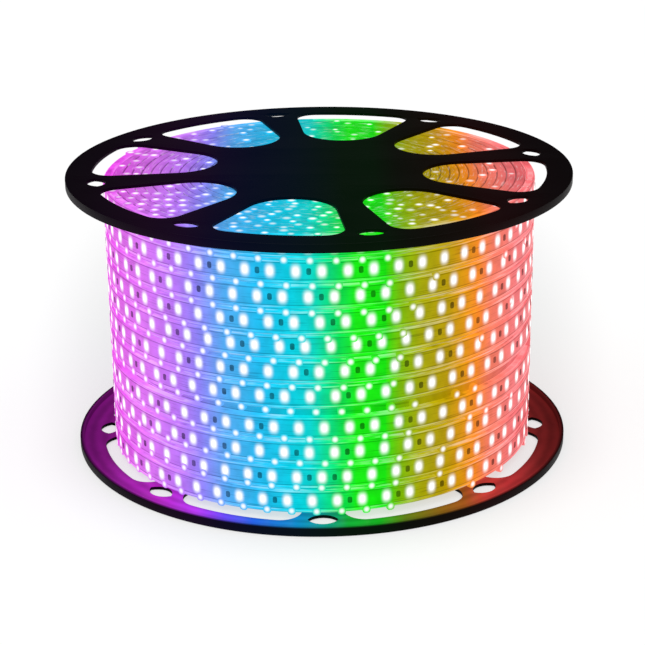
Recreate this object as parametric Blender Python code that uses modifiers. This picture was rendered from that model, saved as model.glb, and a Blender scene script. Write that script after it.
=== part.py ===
"""Led strip light on its reel. Metres, +Z up.

A sleeved light strip is wound in layers on a black plastic reel, which stands on one flange.
The origin is the middle of the face that it stands on, and Z is the reel's axis.
"""

import math

import bpy

# Flanges
FLANGE_RADIUS = 0.175
FLANGE_THICKNESS = 0.0025
FLANGE_STEPS = 96
TOP_FLANGE_TURN = math.radians(12.0)

# Lip round each flange's edge, on the side of the coil, with the disc's thickness in its height
LIP_HEIGHT = 0.0060
LIP_WIDTH = 0.0030

# Petal windows, between the closed middle, the spokes and the rim
WINDOW_COUNT = 8
MIDDLE_RADIUS = 0.0727
RIM_WIDTH = 0.0178
SPOKE_ANGLE = math.radians(11.2)
WINDOW_CORNER_RADIUS = 0.014

# Small lens-shaped holes, one at the outer end of each spoke
LENS_INSET = 0.0206
LENS_LENGTH = 0.020
LENS_HEIGHT = 0.013

# Facets of the windows' arcs
CORNER_STEPS = 5
INNER_END_STEPS = 7
LENS_STEPS = 4

# Strip
STRIP_THICKNESS = 0.0065
LAYERS = 14
COIL_LENGTH = 0.1920

# Turns of the outer layer: the height of each one's middle over the coil's lower end
TURN_HEIGHTS = (
    0.0087, 0.0260, 0.0437, 0.0612, 0.0832, 0.1001, 0.1175, 0.1337, 0.1507, 0.1677, 0.1839,
)
TURN_HALF_FLAT = 0.0060

# Grooves between turns and between layers. Where turns lie apart, the groove has a floor.
TURN_GROOVE_DEPTH = 0.0022
LOOSE_GROOVE_DEPTH = 0.0058
LOOSE_PITCH = 0.0190
TURN_HALF_WIDTH = 0.0081
LAYER_GROOVE_DEPTH = 0.0016

# Drum
DRUM_RADIUS = 0.058
DRUM_WALL = 0.003

# Clearance between pieces that touch, and the facets of the round pieces
SEAT_GAP = 0.0003
ROUND_STEPS = 48

# Sizes that follow from the ones above
COIL_BOTTOM = FLANGE_THICKNESS + SEAT_GAP
COIL_TOP = COIL_BOTTOM + COIL_LENGTH
COIL_BORE_RADIUS = DRUM_RADIUS + SEAT_GAP
COIL_RADIUS = COIL_BORE_RADIUS + LAYERS * STRIP_THICKNESS
TOP_FLANGE_BOTTOM = COIL_TOP + SEAT_GAP
TOP_LIP_BOTTOM = TOP_FLANGE_BOTTOM + FLANGE_THICKNESS - LIP_HEIGHT
LIP_INSIDE = 1 - LIP_WIDTH / FLANGE_RADIUS
LIP_MIDDLE = 1 - LIP_WIDTH / 2 / FLANGE_RADIUS
WINDOW_PITCH = 2 * math.pi / WINDOW_COUNT


def clear_scene():
    """Remove what a new file holds."""
    for item in list(bpy.data.objects):
        bpy.data.objects.remove(item, do_unlink=True)


def make_collection(name):
    """A collection for the reel's pieces."""
    collection = bpy.data.collections.new(name)
    bpy.context.scene.collection.children.link(collection)
    return collection


def plastic(name, colour, roughness, emission=0.0):
    """A moulded plastic, lit from inside where it has emission."""
    material = bpy.data.materials.new(name)
    material.use_nodes = True
    shader = material.node_tree.nodes["Principled BSDF"]
    shader.inputs["Base Color"].default_value = (*colour, 1.0)
    shader.inputs["Roughness"].default_value = roughness
    shader.inputs["Metallic"].default_value = 0.0
    shader.inputs["Emission Color"].default_value = (*colour, 1.0)
    shader.inputs["Emission Strength"].default_value = emission
    return material


def arc(centre, radius, start, end, steps):
    """Points along an arc, both ends included."""
    angles = [start + (end - start) * step / steps for step in range(steps + 1)]
    return [(centre[0] + radius * math.cos(a), centre[1] + radius * math.sin(a)) for a in angles]


def turned(points, angle):
    """The points turned about the reel's axis."""
    c, s = math.cos(angle), math.sin(angle)
    return [(c * x - s * y, s * x + c * y) for x, y in points]


def window_outline():
    """A petal window along +X: radial sides, a round inner end and rounded outer corners."""
    half_angle = (WINDOW_PITCH - SPOKE_ANGLE) / 2
    outer = FLANGE_RADIUS - RIM_WIDTH
    inner_centre = MIDDLE_RADIUS / (1 - math.sin(half_angle))
    inner_radius = inner_centre * math.sin(half_angle)
    corner_reach = outer - WINDOW_CORNER_RADIUS
    corner_angle = half_angle - math.asin(WINDOW_CORNER_RADIUS / corner_reach)
    corner = (corner_reach * math.cos(corner_angle), corner_reach * math.sin(corner_angle))
    side = half_angle + math.pi / 2
    points = arc((0, 0), outer, -corner_angle, corner_angle, CORNER_STEPS)[1:-1]
    points += arc(corner, WINDOW_CORNER_RADIUS, corner_angle, side, CORNER_STEPS)
    points += arc((inner_centre, 0), inner_radius, side, 2 * math.pi - side, INNER_END_STEPS)
    mirrored = (corner[0], -corner[1])
    points += arc(mirrored, WINDOW_CORNER_RADIUS, -side, -corner_angle, CORNER_STEPS)
    return points


def lens_outline():
    """A small lens-shaped hole on +X, long across the spoke: two shallow arcs that meet in points."""
    half_length, half_height = LENS_LENGTH / 2, LENS_HEIGHT / 2
    radius = (half_length**2 + half_height**2) / (2 * half_height)
    reach = FLANGE_RADIUS - LENS_INSET
    offset = radius - half_height
    sweep = math.asin(half_length / radius)
    outward = arc((reach - offset, 0), radius, -sweep, sweep, LENS_STEPS)
    inward = arc((reach + offset, 0), radius, math.pi - sweep, math.pi + sweep, LENS_STEPS)
    return outward[:-1] + inward[:-1]


def add_outline(curve, points):
    """Add one closed outline to a flat curve."""
    spline = curve.splines.new("POLY")
    spline.points.add(len(points) - 1)
    for point, (x, y) in zip(spline.points, points):
        point.co = (x, y, 0, 1)
    spline.use_cyclic_u = True


def make_plate(name, outlines, bottom, thickness, collection):
    """A flat plate: the first outline is its edge and the others are its holes."""
    curve = bpy.data.curves.new(name, "CURVE")
    curve.dimensions = "2D"
    curve.fill_mode = "BOTH"
    curve.extrude = thickness / 2
    for outline in outlines:
        add_outline(curve, outline)
    plate = bpy.data.objects.new(name, curve)
    plate.location.z = bottom + thickness / 2
    collection.objects.link(plate)
    return plate


def make_flange(name, bottom, turn, lip_bottom, material, collection):
    """One moulded flange: a flat disc with its windows and lens holes, and a lip round its edge."""
    edge = arc((0, 0), FLANGE_RADIUS, 0, 2 * math.pi, FLANGE_STEPS)[:-1]
    middle_of_lip = [(x * LIP_MIDDLE, y * LIP_MIDDLE) for x, y in edge]
    inside_of_lip = [(x * LIP_INSIDE, y * LIP_INSIDE) for x, y in edge]
    holes = []
    for index in range(WINDOW_COUNT):
        spoke = turn + index * WINDOW_PITCH
        holes.append(turned(window_outline(), spoke + WINDOW_PITCH / 2))
        holes.append(turned(lens_outline(), spoke))
    disc = make_plate(name + "_disc", [middle_of_lip] + holes, bottom, FLANGE_THICKNESS, collection)
    lip = make_plate(name + "_lip", [edge, inside_of_lip], lip_bottom, LIP_HEIGHT, collection)
    meshes = bpy.context.evaluated_depsgraph_get()
    flange = bpy.data.objects.new(name, bpy.data.meshes.new_from_object(disc.evaluated_get(meshes)))
    ring = bpy.data.objects.new(name + "_ring", bpy.data.meshes.new_from_object(lip.evaluated_get(meshes)))
    for piece, plate in ((flange, disc), (ring, lip)):
        piece.data.transform(plate.matrix_world)
        collection.objects.link(piece)
    for piece in (flange, ring):
        weld = piece.modifiers.new("Weld", "WELD")
        weld.merge_threshold = 0.000005
    union = flange.modifiers.new("Lip", "BOOLEAN")
    union.operation = "UNION"
    union.solver = "EXACT"
    union.object = ring
    meshes = bpy.context.evaluated_depsgraph_get()
    flange_mesh = bpy.data.meshes.new_from_object(flange.evaluated_get(meshes))
    flange.modifiers.clear()
    flange.data = flange_mesh
    flange.data.materials.clear()
    flange.data.materials.append(material)
    for piece in (disc, lip, ring):
        bpy.data.objects.remove(piece, do_unlink=True)
    return flange


def make_turned(name, profile, material, collection):
    """A closed profile in the XZ plane, turned about Z."""
    count = len(profile)
    mesh = bpy.data.meshes.new(name)
    edges = [(index, (index + 1) % count) for index in range(count)]
    mesh.from_pydata([(r, 0, z) for r, z in profile], edges, [])
    mesh.materials.append(material)
    piece = bpy.data.objects.new(name, mesh)
    collection.objects.link(piece)
    screw = piece.modifiers.new("Turn", "SCREW")
    screw.axis = "Z"
    screw.angle = 2 * math.pi
    screw.steps = ROUND_STEPS
    screw.render_steps = ROUND_STEPS
    screw.use_merge_vertices = True
    screw.merge_threshold = 0.00001
    return piece


def coil_profile():
    """The wound strip's section: layers show at both ends, turns on the outside."""
    top_end = [(COIL_BORE_RADIUS, COIL_TOP - LAYER_GROOVE_DEPTH)]
    for layer in range(LAYERS):
        inner = COIL_BORE_RADIUS + layer * STRIP_THICKNESS
        top_end.append((inner + STRIP_THICKNESS / 2, COIL_TOP))
        if layer < LAYERS - 1:
            top_end.append((inner + STRIP_THICKNESS, COIL_TOP - LAYER_GROOVE_DEPTH))
    outside = []
    middles = [COIL_BOTTOM + height for height in reversed(TURN_HEIGHTS)]
    for middle, below in zip(middles, middles[1:] + [None]):
        outside.append((COIL_RADIUS, middle + TURN_HALF_FLAT))
        outside.append((COIL_RADIUS, middle - TURN_HALF_FLAT))
        if below is None:
            break
        if middle - below > LOOSE_PITCH:
            floor = COIL_RADIUS - LOOSE_GROOVE_DEPTH
            outside.append((COIL_RADIUS - TURN_GROOVE_DEPTH, middle - TURN_HALF_WIDTH))
            outside.append((floor, middle - TURN_HALF_WIDTH))
            outside.append((floor, below + TURN_HALF_WIDTH))
            outside.append((COIL_RADIUS - TURN_GROOVE_DEPTH, below + TURN_HALF_WIDTH))
        else:
            outside.append((COIL_RADIUS - TURN_GROOVE_DEPTH, (middle + below) / 2))
    bottom_end = [(r, COIL_BOTTOM + COIL_TOP - z) for r, z in reversed(top_end)]
    return top_end + outside + bottom_end


def drum_profile():
    """The core tube's section, open at both ends under the flanges."""
    inner = DRUM_RADIUS - DRUM_WALL
    return [
        (inner, COIL_TOP),
        (DRUM_RADIUS, COIL_TOP),
        (DRUM_RADIUS, COIL_BOTTOM),
        (inner, COIL_BOTTOM),
    ]


clear_scene()
reel = make_collection("led_strip_light_reel")
black_plastic = plastic("black_plastic", (0.012, 0.012, 0.013), 0.45)
sleeve = plastic("lit_sleeve", (0.25, 0.70, 0.85), 0.25, emission=0.4)
make_flange("bottom_flange", 0.0, 0.0, 0.0, black_plastic, reel)
make_flange("top_flange", TOP_FLANGE_BOTTOM, TOP_FLANGE_TURN, TOP_LIP_BOTTOM, black_plastic, reel)
make_turned("drum", drum_profile(), black_plastic, reel)
make_turned("led_strip_coil", coil_profile(), sleeve, reel)
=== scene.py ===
import math
import random

import bmesh
import bpy
from mathutils import Matrix, Vector


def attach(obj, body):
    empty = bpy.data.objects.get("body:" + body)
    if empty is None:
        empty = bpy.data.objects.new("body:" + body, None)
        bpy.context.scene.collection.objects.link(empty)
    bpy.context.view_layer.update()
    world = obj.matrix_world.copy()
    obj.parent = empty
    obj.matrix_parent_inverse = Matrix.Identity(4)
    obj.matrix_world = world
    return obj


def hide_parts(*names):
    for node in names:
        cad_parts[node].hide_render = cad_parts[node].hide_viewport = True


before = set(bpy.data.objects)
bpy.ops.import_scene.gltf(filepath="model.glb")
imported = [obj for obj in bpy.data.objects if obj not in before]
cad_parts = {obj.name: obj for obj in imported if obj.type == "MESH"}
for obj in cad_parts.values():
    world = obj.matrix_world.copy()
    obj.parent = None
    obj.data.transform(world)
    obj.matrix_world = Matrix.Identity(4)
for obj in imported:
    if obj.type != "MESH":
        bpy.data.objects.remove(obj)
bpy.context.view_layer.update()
bpy.ops.object.select_all(action="DESELECT")


# The two flanges. Each is an injection moulded disc of black polypropylene that slips over the end of
# the drum. A lip on the strip's side stiffens its edge, eight petal windows save plastic and each
# spoke has a lens-shaped hole for a tie. The upper disc is fitted 12 degrees round from the lower.

FLANGE_RADIUS = 0.175
FLANGE_THICKNESS = 0.0025
FLANGE_EDGE_ROUND = 0.0005
FLANGE_STEPS = 192
LIP_HEIGHT = 0.0060
LIP_WIDTH = 0.0030
REEL_HEIGHT = 0.1976
DISC_MIDDLES = {"bottom_flange": FLANGE_THICKNESS / 2, "top_flange": REEL_HEIGHT - FLANGE_THICKNESS / 2}
LIP_MIDDLES = {"bottom_flange": LIP_HEIGHT / 2, "top_flange": REEL_HEIGHT - LIP_HEIGHT / 2}
FLANGE_TURNS = {"bottom_flange": 0.0, "top_flange": math.radians(12.0)}
SPOKES = 8
SPOKE_PITCH = 2 * math.pi / SPOKES
SPOKE_ANGLE = math.radians(11.2)
RIM_WIDTH = 0.0178
WINDOW_HALF_ANGLE = (SPOKE_PITCH - SPOKE_ANGLE) / 2
WINDOW_REACH = FLANGE_RADIUS - RIM_WIDTH
WINDOW_CORNER = 0.014
WINDOW_STEPS = 14
CORNER_STEPS = 9
MIDDLE_RADIUS = 0.0727
LENS_INSET = 0.0206
LENS_REACH = FLANGE_RADIUS - LENS_INSET
LENS_HALF_LENGTH = 0.010
LENS_HALF_HEIGHT = 0.0065
LENS_STEPS = 10
WELD = 0.00001
FINE_WELD = 0.000005


def point_at(x, y):
    """Start an outline: a plane merged to the one vertex at its middle, left in edit mode."""
    bpy.ops.mesh.primitive_plane_add(size=0.001, location=(0, 0, 0))
    piece = bpy.context.object
    bpy.ops.object.mode_set(mode="EDIT")
    bpy.ops.mesh.merge(type="CENTER")
    bpy.ops.transform.translate(value=(x, y, 0))
    return piece


def go_round(centre, angle, steps):
    """Carry the outline on along an arc."""
    bpy.ops.mesh.spin(steps=steps, angle=angle, center=(*centre, 0), axis=(0, 0, -1))


def go_straight(x, y):
    """Carry the outline on along a straight line."""
    bpy.ops.mesh.extrude_region_move(TRANSFORM_OT_translate={"value": (x, y, 0)})


def close_outline():
    """Join the outline's two ends and leave edit mode."""
    bpy.ops.mesh.select_all(action="SELECT")
    bpy.ops.mesh.remove_doubles(threshold=WELD)
    bpy.ops.object.mode_set(mode="OBJECT")


def copy_of(piece, matrix):
    """A copy with its own mesh, moved in its mesh."""
    twin = piece.copy()
    twin.data = piece.data.copy()
    twin.data.transform(matrix)
    bpy.context.collection.objects.link(twin)
    return twin


def join(pieces, name):
    """Join pieces into the first of them, with one mesh at the origin."""
    bpy.ops.object.select_all(action="DESELECT")
    for piece in pieces:
        piece.select_set(True)
    bpy.context.view_layer.objects.active = pieces[0]
    if len(pieces) > 1:
        bpy.ops.object.join()
    bpy.ops.object.transform_apply(location=True, rotation=True, scale=True)
    pieces[0].name = pieces[0].data.name = name
    return pieces[0]


def turn(angle):
    """A turn about the reel's axis."""
    return Matrix.Rotation(angle, 4, "Z")


def make_window_outline():
    """One petal window on +X, with radial sides, a round inner end and rounded outer corners."""
    half = WINDOW_HALF_ANGLE
    corner_reach = WINDOW_REACH - WINDOW_CORNER
    corner_angle = half - math.asin(WINDOW_CORNER / corner_reach)
    corner = Vector((math.cos(corner_angle), math.sin(corner_angle))) * corner_reach
    inner_centre = MIDDLE_RADIUS / (1 - math.sin(half))
    side = Vector((math.cos(half), math.sin(half)))
    side_length = inner_centre * math.cos(half) - corner.dot(side)
    corner_sweep = math.pi / 2 + half - corner_angle
    piece = point_at(*(corner.normalized() * WINDOW_REACH * Vector((1, -1))))
    go_round((0, 0), 2 * corner_angle, WINDOW_STEPS)
    go_round(corner, corner_sweep, CORNER_STEPS)
    go_straight(*(side * side_length))
    go_round((inner_centre, 0), math.pi - 2 * half, WINDOW_STEPS)
    go_straight(*(side * -side_length * Vector((1, -1))))
    go_round(corner * Vector((1, -1)), corner_sweep, CORNER_STEPS)
    close_outline()
    return piece


def make_lens_outline():
    """One tie hole on +X, two shallow arcs that meet in points."""
    radius = (LENS_HALF_LENGTH**2 + LENS_HALF_HEIGHT**2) / (2 * LENS_HALF_HEIGHT)
    offset = radius - LENS_HALF_HEIGHT
    sweep = 2 * math.asin(LENS_HALF_LENGTH / radius)
    piece = point_at(LENS_REACH, -LENS_HALF_LENGTH)
    go_round((LENS_REACH - offset, 0), sweep, LENS_STEPS)
    go_round((LENS_REACH + offset, 0), sweep, LENS_STEPS)
    close_outline()
    return piece


def make_ring(radius, height, width, thickness, rounding, steps):
    """A closed ring: a rounded section in the XZ plane, spun about the reel's axis."""
    bpy.ops.mesh.primitive_plane_add(size=1, location=(0, 0, 0), rotation=(math.pi / 2, 0, 0))
    ring = bpy.context.object
    bpy.ops.object.transform_apply(location=True, rotation=True, scale=True)
    bpy.ops.object.mode_set(mode="EDIT")
    bpy.ops.transform.resize(value=(thickness, 1, width))
    bpy.ops.mesh.bevel(offset=rounding, segments=3, affect="VERTICES")
    bpy.ops.mesh.select_all(action="SELECT")
    bpy.ops.transform.translate(value=(radius - thickness / 2, 0, height))
    bpy.ops.mesh.delete(type="ONLY_FACE")
    bpy.ops.mesh.select_all(action="SELECT")
    bpy.ops.mesh.spin(steps=steps, angle=2 * math.pi, center=(0, 0, 0), axis=(0, 0, 1))
    bpy.ops.mesh.select_all(action="SELECT")
    bpy.ops.mesh.remove_doubles(threshold=WELD)
    bpy.ops.mesh.normals_make_consistent(inside=False)
    bpy.ops.object.mode_set(mode="OBJECT")
    bpy.ops.object.shade_smooth()
    return ring


def unite(piece, other):
    """Fuse two solids that overlap into the first."""
    bpy.ops.object.select_all(action="DESELECT")
    piece.select_set(True)
    bpy.context.view_layer.objects.active = piece
    bpy.ops.object.modifier_add(type="BOOLEAN")
    union = piece.modifiers[-1]
    union.operation, union.solver, union.object = "UNION", "EXACT", other
    bpy.ops.object.modifier_apply(modifier=union.name)
    bpy.data.objects.remove(other)


def make_flange(name):
    """Fill the disc's outline round its holes, give it thickness and rounded edges, and fuse the lip on."""
    window, lens = make_window_outline(), make_lens_outline()
    disc_reach = FLANGE_RADIUS - LIP_WIDTH / 2
    bpy.ops.mesh.primitive_circle_add(vertices=FLANGE_STEPS, radius=disc_reach, fill_type="NOTHING")
    outlines = [bpy.context.object]
    for spoke in range(SPOKES):
        angle = FLANGE_TURNS[name] + spoke * SPOKE_PITCH
        outlines.append(copy_of(window, turn(angle + SPOKE_PITCH / 2)))
        outlines.append(copy_of(lens, turn(angle)))
    for master in (window, lens):
        bpy.data.objects.remove(master)
    flange = join(outlines, name + "_moulding")
    bpy.ops.object.convert(target="CURVE")
    flange = bpy.context.object
    shape = flange.data
    shape.dimensions = "2D"
    shape.fill_mode = "BOTH"
    shape.offset = -FLANGE_EDGE_ROUND
    shape.bevel_depth = FLANGE_EDGE_ROUND
    shape.bevel_resolution = 1
    shape.extrude = FLANGE_THICKNESS / 2 - FLANGE_EDGE_ROUND
    bpy.ops.object.convert(target="MESH")
    flange = bpy.context.object
    flange.location.z = DISC_MIDDLES[name]
    bpy.ops.object.transform_apply(location=True, rotation=True, scale=True)
    bpy.ops.object.mode_set(mode="EDIT")
    bpy.ops.mesh.select_all(action="SELECT")
    bpy.ops.mesh.remove_doubles(threshold=FINE_WELD)
    bpy.ops.mesh.normals_make_consistent(inside=False)
    bpy.ops.object.mode_set(mode="OBJECT")
    middle = LIP_MIDDLES[name]
    unite(flange, make_ring(FLANGE_RADIUS, middle, LIP_HEIGHT, LIP_WIDTH, FLANGE_EDGE_ROUND, FLANGE_STEPS))
    bpy.ops.object.shade_smooth_by_angle(angle=math.radians(40))
    flange.name = flange.data.name = name + "_moulding"
    return flange


def linear(red, green, blue):
    """A screen colour of 0 to 255 as the light it stands for."""
    parts = [value / 255 for value in (red, green, blue)]
    return [p / 12.92 if p <= 0.04045 else ((p + 0.055) / 1.055) ** 2.4 for p in parts] + [1.0]


def new_material(name):
    """A material with its node tree and its shader."""
    material = bpy.data.materials.new(name)
    material.use_nodes = True
    return material, material.node_tree, material.node_tree.nodes["Principled BSDF"]


def add(tree, kind, wires, **settings):
    """Add a node with its settings, and wire or set its inputs."""
    node = tree.nodes.new(kind)
    for key, value in settings.items():
        setattr(node, key, value)
    for key, value in wires.items():
        if isinstance(value, bpy.types.NodeSocket):
            tree.links.new(value, node.inputs[key])
        else:
            node.inputs[key].default_value = value
    return node


def calc(tree, operation, *values, clamp=False):
    """A sum on numbers or sockets."""
    wires = dict(enumerate(values))
    return add(tree, "ShaderNodeMath", wires, operation=operation, use_clamp=clamp).outputs[0]


def fade(tree, value, start, end, low=0.0, high=1.0):
    """A smooth step of the value from start to end."""
    wires = {"Value": value, "From Min": start, "From Max": end, "To Min": low, "To Max": high}
    return add(tree, "ShaderNodeMapRange", wires, interpolation_type="SMOOTHSTEP").outputs[0]


def blend(tree, how, amount, first, second):
    """Mix two colours."""
    wires = {0: amount, 6: first, 7: second}
    return add(tree, "ShaderNodeMix", wires, data_type="RGBA", blend_type=how).outputs[2]


def along_line(tree, value, start, end):
    """The value's place between start and end."""
    wires = {"Value": value, "From Min": start, "From Max": end}
    return add(tree, "ShaderNodeMapRange", wires).outputs[0]


def scaled(tree, level, value, gain, base):
    """A level, times the value with its gain and base."""
    return calc(tree, "MULTIPLY", level, calc(tree, "MULTIPLY_ADD", value, gain, base))


def length_of(tree, x, y):
    """The length of the arrow x, y."""
    squares = calc(tree, "ADD", calc(tree, "POWER", x, 2.0), calc(tree, "POWER", y, 2.0))
    return calc(tree, "SQRT", squares)


def grey_of(tree, level):
    """A grey of the level."""
    return add(tree, "ShaderNodeCombineColor", {0: level, 1: level, 2: level}).outputs[0]


def tinted(tree, colour, level):
    """A colour at the level."""
    return blend(tree, "MULTIPLY", 1.0, colour, grey_of(tree, level))


def place_of(tree):
    """The object coordinates, whole and as x, y and z."""
    where = tree.nodes.new("ShaderNodeTexCoord").outputs["Object"]
    parts = add(tree, "ShaderNodeSeparateXYZ", {0: where}).outputs
    return where, parts[0], parts[1], parts[2]


def colour_run(tree, x, stops):
    """Colours by their place from the reel's left to its right, given in millimetres."""
    across = along_line(tree, x, -FLANGE_RADIUS, FLANGE_RADIUS)
    ramp = add(tree, "ShaderNodeValToRGB", {0: across})
    points = ramp.color_ramp.elements
    while len(points) < len(stops):
        points.new(0.5)
    for point, (millimetres, *colour) in zip(points, stops):
        point.position = (millimetres / 1000 + FLANGE_RADIUS) / (2 * FLANGE_RADIUS)
        point.color = linear(*colour)
    return ramp.outputs[0]


def noise(tree, where, scale, detail=3.0, roughness=0.5):
    """A cloud of grey."""
    wires = {"Vector": where, "Scale": scale, "Detail": detail, "Roughness": roughness}
    return add(tree, "ShaderNodeTexNoise", wires).outputs["Fac"]


def roughen(tree, shader, strength, distance, height):
    """Give a surface a relief."""
    bump = add(tree, "ShaderNodeBump", {"Strength": strength, "Distance": distance, "Height": height})
    tree.links.new(bump.outputs[0], shader.inputs["Normal"])


PLASTIC_DARK = linear(0, 0, 1)
PLASTIC_PALE = linear(5, 5, 7)
PLASTIC_SPECULAR = 0.03
# A faint painted glow of the strip's light, in its colours, on all the black plastic.
FAINT_PAINTED_GLOW = 0.015
GLOW_WALL_FADE = (0.164, 0.168)
GLOW_FACE_START = (0.120, 0.150)
GLOW_FACE_END = (0.1715, 0.1748)
GLOW_STOPS = (
    (-172, 96, 12, 94),
    (-150, 118, 18, 116),
    (-110, 176, 34, 188),
    (-84, 172, 50, 226),
    (-66, 104, 62, 236),
    (-46, 36, 92, 222),
    (-18, 12, 128, 190),
    (2, 14, 150, 130),
    (16, 16, 160, 52),
    (38, 18, 168, 26),
    (54, 86, 112, 16),
    (76, 128, 92, 18),
    (94, 150, 78, 24),
    (108, 190, 58, 50),
    (124, 176, 44, 46),
    (150, 108, 26, 26),
    (172, 84, 18, 18),
)


def paint_flange(name, painted_glow):
    """Satin black moulded plastic with fine grain and scuffs, with the strip's light painted on as a glow in
    its colours: a strong painted glow where asked for, a faint one otherwise.
    """
    material, tree, shader = new_material(name)
    where, x, y, _ = place_of(tree)
    cloud = noise(tree, where, 38.0, detail=5.0)
    grain = noise(tree, where, 1400.0, detail=2.0)
    scuffs = fade(tree, noise(tree, where, 210.0, detail=6.0, roughness=0.7), 0.60, 0.72)
    pale = calc(tree, "ADD", calc(tree, "MULTIPLY", cloud, 0.7), calc(tree, "MULTIPLY", scuffs, 0.3))
    tree.links.new(blend(tree, "MIX", pale, PLASTIC_DARK, PLASTIC_PALE), shader.inputs["Base Color"])
    rough = along_line(tree, cloud, 0.3, 0.7)
    tree.links.new(calc(tree, "MULTIPLY_ADD", rough, 0.12, 0.38), shader.inputs["Roughness"])
    roughen(tree, shader, strength=0.12, distance=0.0002, height=grain)
    shader.inputs["Specular IOR Level"].default_value = PLASTIC_SPECULAR
    level = painted_glow_level(tree, where, x, y, cloud) if painted_glow else FAINT_PAINTED_GLOW
    tree.links.new(tinted(tree, colour_run(tree, x, GLOW_STOPS), level), shader.inputs["Emission Color"])
    shader.inputs["Emission Strength"].default_value = 1.0
    return material


def painted_glow_level(tree, where, x, y, cloud):
    """The painted glow of the strip's light on the lower flange: strong on its face near the edge and on the
    lip's inner wall, with faint concentric streaks.
    """
    reach = length_of(tree, x, y)
    facing = tree.nodes.new("ShaderNodeNewGeometry").outputs["Normal"]
    along_x, along_y, upward = add(tree, "ShaderNodeSeparateXYZ", {0: facing}).outputs
    outward = calc(tree, "ADD", calc(tree, "MULTIPLY", along_x, x), calc(tree, "MULTIPLY", along_y, y))
    wall = fade(tree, calc(tree, "DIVIDE", outward, reach), -0.9, -0.4, 0.50, 0.0)
    wall = calc(tree, "MULTIPLY", wall, fade(tree, reach, *GLOW_WALL_FADE))
    face = fade(tree, upward, 0.55, 0.98)
    face = calc(tree, "MULTIPLY", face, fade(tree, reach, *GLOW_FACE_END, 1.0, 0.15))
    face = calc(tree, "MULTIPLY", face, fade(tree, reach, *GLOW_FACE_START))
    # Faint concentric streaks in the painted glow.
    wires = {"Vector": where, "Scale": 34.0, "Distortion": 1.2, "Detail": 2.0, "Detail Scale": 3.0}
    rings = add(tree, "ShaderNodeTexWave", wires, wave_type="RINGS", rings_direction="Z").outputs["Fac"]
    level = calc(tree, "ADD", calc(tree, "ADD", wall, face), FAINT_PAINTED_GLOW)
    level = scaled(tree, level, rings, 0.30, 0.85)
    return scaled(tree, level, cloud, 0.5, 0.75)


# The lower flange carries a strong painted glow of the strip's light; the upper one only the faint painted
# glow.
for name in FLANGE_TURNS:
    flange = make_flange(name)
    flange.data.materials.clear()
    flange.data.materials.append(paint_flange(name + "_plastic", painted_glow=name == "bottom_flange"))
    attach(flange, "root")
    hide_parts(name)


# The drum. It is a tube of the same black plastic between the flanges, and the first layer of strip
# is wound straight onto it. Nothing of it shows once the reel is full, so the solid itself stays.

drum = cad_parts["drum"]
# Its plastic carries only the faint painted glow of the strip's light.
for slot in drum.material_slots:
    slot.material = paint_flange("drum_plastic", painted_glow=False)


# The outer layer of strip. Each turn is a clear vinyl sleeve, flat with rounded edges, extruded over
# the board. It is lit from inside, pink to red from the left to the right, and most turns lie a small
# gap apart. The layer below shows in the gaps.

STRIP_THICKNESS = 0.0065
SLEEVE_WIDTH = 0.0162
SLEEVE_ROUND = 0.0022
COIL_RADIUS = 0.1493
COIL_BOTTOM = 0.0028
COIL_TOP = 0.1948
PACKAGES_A_TURN = 57
PACKAGE_PITCH = 2 * math.pi * COIL_RADIUS / PACKAGES_A_TURN
ROUND_STEPS = 114
TURN_HEIGHTS = (0.0122, 0.0291, 0.0467, 0.0640, 0.0860, 0.1029, 0.1203, 0.1365, 0.1535, 0.1705, 0.1867)
TURN_SLOPES = (0.6, 0.6, 0.55, 0.4, 1.1, 1.0, 0.8, 0.75, 0.75, 0.45, 0.1)
TURN_PHASES = (-0.42, -0.02, 0.49, 0.09, -0.45, -0.08, 0.39, -0.03, -0.46, 0.07, -0.45)
BOARD_LIFT = 0.0010
TURNS_A_METRE = 60.0
HALO_HALF_WIDTH_MM = 2.6
HALO_HALF_HEIGHT_MM = 3.7
HALO_SQUARENESS = 2.4
WHITE = (1, 1, 1, 1)
HUE_STOPS = (
    (-150, 220, 59, 214),
    (-117, 218, 115, 242),
    (-94, 184, 118, 246),
    (-79, 141, 131, 247),
    (-62, 81, 169, 240),
    (-41, 33, 185, 237),
    (-21, 8, 201, 224),
    (-8, 8, 208, 206),
    (2, 10, 219, 148),
    (12, 8, 218, 81),
    (22, 23, 234, 19),
    (41, 22, 223, 14),
    (51, 123, 184, 6),
    (64, 162, 164, 8),
    (82, 182, 151, 5),
    (93, 219, 147, 15),
    (103, 245, 135, 36),
    (112, 243, 121, 94),
    (130, 240, 115, 117),
    (150, 225, 94, 102),
)


def map_ring(ring, height, width):
    """A UV map: u counts the packages from the front, and v runs up across the strip."""
    while ring.data.uv_layers:
        ring.data.uv_layers.remove(ring.data.uv_layers[0])
    layer = ring.data.uv_layers.new(name="strip")
    for face in ring.data.polygons:
        middle = math.atan2(face.center.x, -face.center.y)
        for index in face.loop_indices:
            spot = ring.data.vertices[ring.data.loops[index].vertex_index].co
            angle = math.atan2(spot.x, -spot.y)
            angle += 2 * math.pi * round((middle - angle) / (2 * math.pi))
            u = angle / (2 * math.pi) * PACKAGES_A_TURN
            layer.data[index].uv = (u, (spot.z - height) / width + 0.5)


def lay(height, slope):
    """A turn's place: its height at the front, and its slope in degrees from the left up to the right."""
    return Matrix.Translation((0, 0, height)) @ Matrix.Rotation(-math.radians(slope), 4, "Y")


def shift_map(ring, packages):
    """Slide a ring's UV map along the strip."""
    for item in ring.data.uv_layers["strip"].data:
        item.uv.x -= packages


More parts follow.
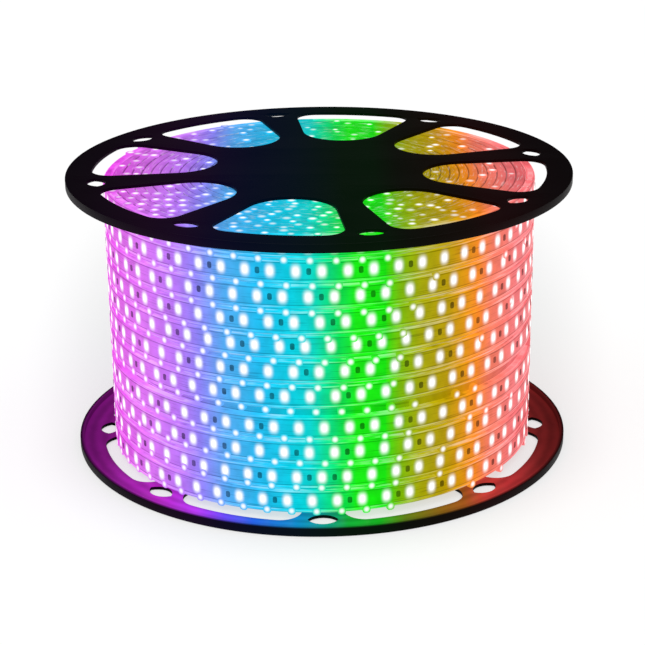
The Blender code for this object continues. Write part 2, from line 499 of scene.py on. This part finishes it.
def shine(tree, shader, lit, strength, body, roughness, specular=PLASTIC_SPECULAR):
    """Shine with a colour, over a dark body of the same colour."""
    tree.links.new(lit, shader.inputs["Emission Color"])
    tree.links.new(blend(tree, "MULTIPLY", 1.0, lit, (body, body, body, 1)), shader.inputs["Base Color"])
    shader.inputs["Emission Strength"].default_value = strength
    shader.inputs["Roughness"].default_value = roughness
    shader.inputs["Specular IOR Level"].default_value = specular


def halo_of(tree, along, across):
    """The painted halo of light round a package: a white lozenge that fades out, from millimetres along and
    across the strip.
    """
    long_part = calc(tree, "POWER", calc(tree, "DIVIDE", along, HALO_HALF_WIDTH_MM), HALO_SQUARENESS)
    high_part = calc(tree, "POWER", calc(tree, "DIVIDE", across, HALO_HALF_HEIGHT_MM), HALO_SQUARENESS)
    lozenge = calc(tree, "POWER", calc(tree, "ADD", long_part, high_part), 1 / HALO_SQUARENESS)
    return calc(tree, "POWER", fade(tree, lozenge, 0.43, 2.0, 1.0, 0.0), 2.0)


def paint_sleeve(name, dim):
    """Clear sleeve lit from inside: a painted halo of white light round each package, deeper over the board,
    and a painted highlight along its rounded edges.
    """
    material, tree, shader = new_material(name)
    where, x, _, z = place_of(tree)
    hue = colour_run(tree, x, HUE_STOPS)
    uv = tree.nodes.new("ShaderNodeTexCoord").outputs["UV"]
    u, v = add(tree, "ShaderNodeSeparateXYZ", {0: uv}).outputs[:2]

    # Millimetres from the nearest package and from the middle of the strip.
    share = calc(tree, "FRACT", calc(tree, "ADD", u, 0.5))
    along = calc(tree, "ABSOLUTE", calc(tree, "SUBTRACT", share, 0.5))
    along = calc(tree, "MULTIPLY", along, PACKAGE_PITCH * 1000)
    across = calc(tree, "MULTIPLY", calc(tree, "SUBTRACT", v, 0.5), SLEEVE_WIDTH * 1000)
    across = calc(tree, "ABSOLUTE", across)

    # The bands across the strip: its board, the wire at the board's edge, the clear rim and the seam.
    board = fade(tree, across, 4.8, 5.2, 1.0, 0.0)
    wire = calc(tree, "MULTIPLY", fade(tree, across, 4.9, 5.3), fade(tree, across, 5.6, 6.1, 1.0, 0.0))
    shoulder = fade(tree, across, 5.6, 6.3)
    seam = fade(tree, across, 7.3, 7.9)

    # Streaks run along the strip, and each turn has its own.
    streak_place = {0: calc(tree, "MULTIPLY", u, 0.5), 1: calc(tree, "MULTIPLY", v, 22.0)}
    streak_place[2] = calc(tree, "MULTIPLY", z, TURNS_A_METRE)
    stretched = add(tree, "ShaderNodeCombineXYZ", streak_place).outputs[0]
    streak = noise(tree, stretched, 1.0, detail=4.0, roughness=0.6)
    blotch = noise(tree, where, 130.0, detail=3.0)
    dark_streak = fade(tree, streak, 0.30, 0.46, 1.0, 0.0)

    depth = calc(tree, "MULTIPLY_ADD", board, -0.20, 1.10)
    depth = scaled(tree, depth, dark_streak, -0.40, 1.0)
    depth = scaled(tree, depth, scaled(tree, wire, streak, 1.0, 0.2), -0.65, 1.0)
    depth = scaled(tree, depth, blotch, 0.5, 0.76)
    depth = scaled(tree, depth, seam, -0.25, 1.0)
    lit = tinted(tree, hue, depth)
    # The pale lines along the clear rims are a painted highlight, where the rounded sleeve edges catch the
    # light, on top of their real gloss.
    pale = calc(tree, "MULTIPLY", fade(tree, streak, 0.48, 0.66), calc(tree, "MULTIPLY", shoulder, 0.22))
    lit = blend(tree, "MIX", pale, lit, WHITE)
    # The painted halo of light round each package.
    if not dim:
        lit = blend(tree, "MIX", calc(tree, "MULTIPLY", halo_of(tree, along, across), 0.95), lit, WHITE)
    shine(tree, shader, lit, strength=0.95 if dim else 1.10, body=0.03, roughness=0.28)
    roughen(tree, shader, strength=0.25, distance=0.0004, height=streak)
    return material


master = make_ring(COIL_RADIUS, 0, SLEEVE_WIDTH, STRIP_THICKNESS, SLEEVE_ROUND, ROUND_STEPS)
map_ring(master, BOARD_LIFT, SLEEVE_WIDTH)
turns = []
for height, slope, phase in zip(TURN_HEIGHTS, TURN_SLOPES, TURN_PHASES):
    ring = copy_of(master, lay(height, slope))
    shift_map(ring, phase)
    turns.append(ring)
outer_turns = join(turns, "outer_turns")
outer_turns.data.materials.append(paint_sleeve("sleeve_lit", dim=False))
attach(outer_turns, "root")
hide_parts("led_strip_coil")
bpy.data.objects.remove(master)


# The layer under it. It is the same sleeve, wound the other way and about half a turn's width up or
# down, so that it closes the gaps between the outer turns. It is a little dimmer.

UNDER_HEIGHTS = (0.0227, 0.0400, 0.0570, 0.0763, 0.0930, 0.1104, 0.1266, 0.1437, 0.1617, 0.1785)
UNDER_SLOPE = -0.7
UNDER_PHASES = (-0.04, 0.11, -0.49, -0.22, -0.14, 0.14, 0.26, -0.33, -0.30, -0.38)

master = make_ring(COIL_RADIUS - STRIP_THICKNESS, 0, SLEEVE_WIDTH, STRIP_THICKNESS, SLEEVE_ROUND, ROUND_STEPS)
map_ring(master, 0, SLEEVE_WIDTH)
turns = []
for height, phase in zip(UNDER_HEIGHTS, UNDER_PHASES):
    ring = copy_of(master, lay(height, UNDER_SLOPE))
    shift_map(ring, phase)
    turns.append(ring)
under_turns = join(turns, "under_turns")
under_turns.data.materials.append(paint_sleeve("sleeve_under", dim=True))
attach(under_turns, "root")
bpy.data.objects.remove(master)


# The light packages. Each is a small white moulded block, soldered to the board every 16.5 mm. It is
# so bright that it shows as a white lozenge through the sleeve.

PACKAGE_WIDTH = 0.0030
PACKAGE_HEIGHT = 0.0044
PACKAGE_PROUD = 0.0001
PACKAGE_DEPTH = 0.0012
PACKAGE_MOTTLE = 0.12
PACKAGE_SPECULAR = 0.5
CORNER_SHARE = 0.36
CROWN_SHARE = 0.14
CROWN_RISE = 0.00012


def make_package(width, height, front, depth):
    """One package at the reel's front: a block with rounded corners and a low crowned face."""
    bpy.ops.mesh.primitive_cube_add(size=1, location=(0, 0, 0))
    package = bpy.context.object
    bpy.ops.object.mode_set(mode="EDIT")
    bpy.ops.transform.resize(value=(width, depth, height))
    bpy.ops.transform.translate(value=(0, depth / 2 - front, 0))
    block = bmesh.from_edit_mesh(package.data)
    bpy.ops.mesh.select_mode(type="EDGE")
    bpy.ops.mesh.select_all(action="DESELECT")
    for edge in block.edges:
        edge.select = abs(edge.verts[0].co.y - edge.verts[1].co.y) > depth / 2
    bmesh.update_edit_mesh(package.data)
    bpy.ops.mesh.bevel(offset=width * CORNER_SHARE, segments=3, affect="EDGES")
    bpy.ops.mesh.select_mode(type="FACE")
    bpy.ops.mesh.select_all(action="DESELECT")
    for face in bmesh.from_edit_mesh(package.data).faces:
        face.select = face.normal.y < -0.9
    bmesh.update_edit_mesh(package.data)
    bpy.ops.mesh.inset(thickness=width * CROWN_SHARE)
    bpy.ops.transform.translate(value=(0, -CROWN_RISE, 0))
    bpy.ops.object.mode_set(mode="OBJECT")
    bpy.ops.object.shade_smooth_by_angle(angle=math.radians(60))
    layer = package.data.uv_layers[0]
    layer.name = "face"
    for loop, item in zip(package.data.loops, layer.data):
        spot = package.data.vertices[loop.vertex_index].co
        item.uv = (spot.x / width + 0.5, spot.z / height + 0.5)
    return package


def ring_of(package, count):
    """Repeat a package round the reel."""
    bpy.context.view_layer.objects.active = package
    bpy.ops.object.mode_set(mode="EDIT")
    bpy.ops.mesh.select_all(action="SELECT")
    sweep = 2 * math.pi * (count - 1) / count
    bpy.ops.mesh.spin(steps=count - 1, dupli=True, angle=sweep, center=(0, 0, 0), axis=(0, 0, 1))
    bpy.ops.object.mode_set(mode="OBJECT")
    return package


def paint_package(name, white, strength, soft=0.0):
    """A lit package: white, with a little of the strip's colour in it, and fading to it at a soft edge."""
    material, tree, shader = new_material(name)
    where, x, _, _ = place_of(tree)
    hue = colour_run(tree, x, HUE_STOPS)
    mottle = noise(tree, where, 260.0, detail=2.0)
    amount = calc(tree, "MULTIPLY_ADD", mottle, PACKAGE_MOTTLE, white - PACKAGE_MOTTLE / 2, clamp=True)
    if soft:
        uv = tree.nodes.new("ShaderNodeTexCoord").outputs["UV"]
        wires = {0: uv, 1: (0.5, 0.5, 0.0)}
        away = add(tree, "ShaderNodeVectorMath", wires, operation="DISTANCE").outputs["Value"]
        amount = calc(tree, "MULTIPLY", amount, fade(tree, away, 0.5 - soft, 0.5, 1.0, 0.0))
    lit = blend(tree, "MIX", amount, hue, WHITE)
    shine(tree, shader, lit, strength, body=0.1, roughness=0.35, specular=PACKAGE_SPECULAR)
    return material


package = make_package(PACKAGE_WIDTH, PACKAGE_HEIGHT, COIL_RADIUS + PACKAGE_PROUD, PACKAGE_DEPTH)
row = ring_of(package, PACKAGES_A_TURN)
rows = []
for height, slope, phase in zip(TURN_HEIGHTS, TURN_SLOPES, TURN_PHASES):
    place = lay(height + BOARD_LIFT, slope) @ turn(2 * math.pi * phase / PACKAGES_A_TURN)
    rows.append(copy_of(row, place))
bpy.data.objects.remove(row)
packages = join(rows, "light_packages")
packages.data.materials.append(paint_package("package_lit", white=0.96, strength=1.15))
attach(packages, "root")


# The packages of the layer below. Their light comes out between two outer turns, through the rounded
# edges of the sleeves, as softer spots. To the right of the front most of them stay hidden.

GAP_LIGHT_WIDTH = 0.0054
GAP_LIGHT_HEIGHT = 0.0056
GAP_LIGHT_DEPTH = 0.0030
LOWEST_GAP_ROW = (0.0057, 0.0, -0.25)
HIDDEN_FROM = math.radians(22)
HIDDEN_TO = math.radians(80)
HIDDEN_SHARE = 0.85

random.seed(5)
spot = make_package(GAP_LIGHT_WIDTH, GAP_LIGHT_HEIGHT, COIL_RADIUS + PACKAGE_PROUD, GAP_LIGHT_DEPTH)
rows = []
gap_rows = [LOWEST_GAP_ROW]
gap_rows += [(height, UNDER_SLOPE, phase) for height, phase in zip(UNDER_HEIGHTS, UNDER_PHASES)]
for height, slope, phase in gap_rows:
    for number in range(PACKAGES_A_TURN):
        angle = 2 * math.pi * (number + phase) / PACKAGES_A_TURN
        if HIDDEN_FROM < angle < HIDDEN_TO and random.random() < HIDDEN_SHARE:
            continue
        rows.append(copy_of(spot, lay(height, slope) @ turn(angle)))
bpy.data.objects.remove(spot)
gap_lights = join(rows, "gap_lights")
gap_lights.data.materials.append(paint_package("gap_lit", white=0.90, strength=1.0, soft=0.42))
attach(gap_lights, "root")


# The resistors. One small dark chip sits on the board in every second or third gap between packages,
# and shows through the sleeve as a darker upright oblong.

RESISTOR_WIDTH = 0.0030
RESISTOR_HEIGHT = 0.0044
RESISTOR_DEPTH = 0.0008
RESISTOR_STRIDES = (2, 2, 3)


def paint_resistor():
    """A dark chip, with the strip's light round it painted on as a faint glow in the strip's colours."""
    material, tree, shader = new_material("resistor_chip")
    where, x, _, _ = place_of(tree)
    level = calc(tree, "MULTIPLY_ADD", noise(tree, where, 300.0, detail=2.0), 0.36, 0.12)
    lit = tinted(tree, colour_run(tree, x, HUE_STOPS), level)
    shine(tree, shader, lit, strength=1.0, body=0.1, roughness=0.4)
    return material


random.seed(7)
chip = make_package(RESISTOR_WIDTH, RESISTOR_HEIGHT, COIL_RADIUS + PACKAGE_PROUD, RESISTOR_DEPTH)
chips = []
for height, slope, phase in zip(TURN_HEIGHTS, TURN_SLOPES, TURN_PHASES):
    gap = random.randrange(2)
    while gap < PACKAGES_A_TURN:
        place = lay(height + BOARD_LIFT, slope) @ turn(2 * math.pi * (phase + gap + 0.5) / PACKAGES_A_TURN)
        chips.append(copy_of(chip, place))
        gap += random.choice(RESISTOR_STRIDES)
bpy.data.objects.remove(chip)
resistors = join(chips, "resistors")
resistors.data.materials.append(paint_resistor())
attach(resistors, "root")


# The edges of the inner layers. Thirteen more turns of the same sleeve lie edge up inside the outer
# one at each end of the reel, close to the flanges, and show through the petal windows.

LAYERS = 14
BORE_RADIUS = 0.0583
EDGE_HEIGHT = 0.0080
EDGE_GAP = 0.0004
EDGE_ROUND = 0.0018
EDGE_UNEVEN = 0.0005


def paint_edges(name):
    """Sleeve edges lit from inside, with fine lines along each layer and dark seams between them."""
    material, tree, shader = new_material(name)
    where, x, y, _ = place_of(tree)
    hue = colour_run(tree, x, HUE_STOPS)
    depth_in_coil = calc(tree, "SUBTRACT", length_of(tree, x, y), BORE_RADIUS)
    layer = calc(tree, "DIVIDE", depth_in_coil, STRIP_THICKNESS)
    off = calc(tree, "ABSOLUTE", calc(tree, "SUBTRACT", calc(tree, "FRACT", layer), 0.5))
    seam = fade(tree, off, 0.36, 0.50)
    angle = calc(tree, "ARCTAN2", y, x)
    streak_place = {0: calc(tree, "MULTIPLY", angle, 9.0), 1: calc(tree, "MULTIPLY", layer, 5.0)}
    stretched = add(tree, "ShaderNodeCombineXYZ", streak_place).outputs[0]
    streak = noise(tree, stretched, 1.0, detail=4.0, roughness=0.65)
    blotch = noise(tree, where, 90.0, detail=3.0)
    level = calc(tree, "MULTIPLY_ADD", seam, -0.75, 0.98)
    lit = tinted(tree, hue, scaled(tree, level, blotch, 0.7, 0.62))
    pale = calc(tree, "MULTIPLY", fade(tree, streak, 0.52, 0.75), 0.45)
    lit = blend(tree, "MIX", pale, lit, WHITE)
    shine(tree, shader, lit, strength=0.88, body=0.03, roughness=0.3)
    roughen(tree, shader, strength=0.3, distance=0.0004, height=streak)
    return material


edge_material = paint_edges("sleeve_edges")
for name, face, side, seed in (("upper_edges", COIL_TOP, -1, 11), ("lower_edges", COIL_BOTTOM, 1, 12)):
    random.seed(seed)
    rings = []
    for layer in range(LAYERS - 1):
        radius = BORE_RADIUS + (layer + 1) * STRIP_THICKNESS - EDGE_GAP / 2
        height = face + side * (EDGE_HEIGHT / 2 + random.uniform(0.0, EDGE_UNEVEN))
        thickness = STRIP_THICKNESS - EDGE_GAP
        rings.append(make_ring(radius, height, EDGE_HEIGHT, thickness, EDGE_ROUND, ROUND_STEPS))
    edges = join(rings, name)
    edges.data.materials.append(edge_material)
    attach(edges, "root")


# The lights at the coil's upper end. The packages of the last turns shine out through the sleeve edges
# as spots at the same pitch, many towards the front, some at the left and few at the right and the back.

END_LIGHT_WIDTH = 0.0042
END_LIGHT_HEIGHT = 0.0044
END_LIGHT_DEPTH = 0.0010
END_LIGHT_PITCH = 0.0167
END_LIGHT_SIZES = (1.1, 1.7)
SHARE_EVERYWHERE = 0.15
SHARE_AT_FRONT = 0.65
SHARE_AT_LEFT = 0.35
BRIGHT_SHARE = 0.4

random.seed(23)
spots = {"bright": [], "soft": []}
spot = make_package(END_LIGHT_WIDTH, END_LIGHT_HEIGHT, 0.0, END_LIGHT_DEPTH)
spot.data.transform(Matrix.Rotation(-math.pi / 2, 4, "X"))
for layer in range(LAYERS):
    radius = BORE_RADIUS + (layer + 0.5) * STRIP_THICKNESS
    count = round(2 * math.pi * radius / END_LIGHT_PITCH)
    start = random.random()
    for number in range(count):
        angle = 2 * math.pi * (number + start) / count
        front, left = -math.sin(angle), -math.cos(angle)
        share = SHARE_EVERYWHERE + SHARE_AT_FRONT * max(0.0, front) + SHARE_AT_LEFT * max(0.0, left)
        if random.random() > share:
            continue
        size = random.uniform(*END_LIGHT_SIZES)
        kind = "bright" if random.random() < BRIGHT_SHARE else "soft"
        place = turn(angle) @ Matrix.Translation((radius, 0, COIL_TOP + PACKAGE_PROUD))
        spots[kind].append(copy_of(spot, place @ Matrix.Diagonal((size, size, 1, 1))))
bpy.data.objects.remove(spot)
for kind, white, strength in (("bright", 0.9, 1.05), ("soft", 0.6, 0.9)):
    piece = join(spots[kind], kind + "_end_lights")
    piece.data.materials.append(paint_package(kind + "_end_lit", white, strength, soft=0.4))
    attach(piece, "root")


# The floor and the light. A wide pale sheet stands under the reel. One broad soft box hangs over it and
# the room itself is pale, so the shadows are faint and wide, and the sheet has them painted on.

FLOOR_WIDTH = 60
FLOOR_DROP = 0.0004
SHADE_HALF_WIDTH = 0.185
SHADE_SPREAD = 0.12
SHADE_LENGTH = 0.60
SHADE_ROUNDNESS = 3.0


def paint_floor():
    """White sheet with a faint shade round the reel, longer and wider behind it."""
    material, tree, shader = new_material("pale_floor")
    where, x, y, _ = place_of(tree)
    behind = calc(tree, "MAXIMUM", y, 0.0)
    before = calc(tree, "MAXIMUM", calc(tree, "MULTIPLY", y, -1.0), 0.0)
    half_width = calc(tree, "MULTIPLY_ADD", behind, SHADE_SPREAD, SHADE_HALF_WIDTH)
    sideways = calc(tree, "DIVIDE", length_of(tree, x, before), half_width)
    side_part = calc(tree, "POWER", sideways, SHADE_ROUNDNESS)
    back_part = calc(tree, "POWER", calc(tree, "DIVIDE", behind, SHADE_LENGTH), SHADE_ROUNDNESS)
    away = calc(tree, "POWER", calc(tree, "ADD", side_part, back_part), 1 / SHADE_ROUNDNESS)
    shade = scaled(tree, fade(tree, away, 0.80, 1.20, 0.86, 1.0), noise(tree, where, 3.0), 0.02, 0.99)
    shine(tree, shader, grey_of(tree, shade), strength=0.73, body=0.25, roughness=0.9, specular=0.0)
    return material


bpy.ops.mesh.primitive_plane_add(size=1, location=(0, 0, -FLOOR_DROP))
floor = bpy.context.object
floor.name = "floor"
bpy.ops.transform.resize(value=(FLOOR_WIDTH, FLOOR_WIDTH, 1))
bpy.ops.object.transform_apply(location=True, rotation=True, scale=True)
floor.data.materials.append(paint_floor())

bpy.ops.object.light_add(type="SUN", location=(0, -0.6, 2.4))
soft_box = bpy.context.object
soft_box.data.angle = math.radians(100)
soft_box.data.energy = 3.6
soft_box.rotation_euler = (math.radians(14), 0, 0)

world = bpy.data.worlds.new("pale_room")
bpy.context.scene.world = world
world.use_nodes = True
room = world.node_tree
ray = room.nodes.new("ShaderNodeLightPath").outputs["Is Camera Ray"]
seen = add(room, "ShaderNodeMapRange", {"Value": ray, "To Min": 0.04, "To Max": 1.0})
room.links.new(seen.outputs[0], room.nodes["Background"].inputs["Strength"])
room.nodes["Background"].inputs["Color"].default_value = WHITE


# The camera. It stands nearly four reel widths away along -Y, some twenty degrees above level, and is
# held a little out of level.

CAMERA_PLACE = (0, -1.2525, 0.5456)
CAMERA_AIM = (0.0013, 0, 0.0823)
CAMERA_ROLL = math.radians(-0.67)

bpy.ops.object.camera_add(location=CAMERA_PLACE)
camera = bpy.context.object
aim = Vector(CAMERA_AIM) - camera.location
facing = aim.to_track_quat("-Z", "Y").to_matrix().to_4x4() @ turn(CAMERA_ROLL)
camera.rotation_euler = facing.to_euler()
camera.data.lens = 104.2
camera.data.sensor_width = 36
bpy.context.scene.camera = camera
bpy.context.scene.view_settings.view_transform = "Standard"
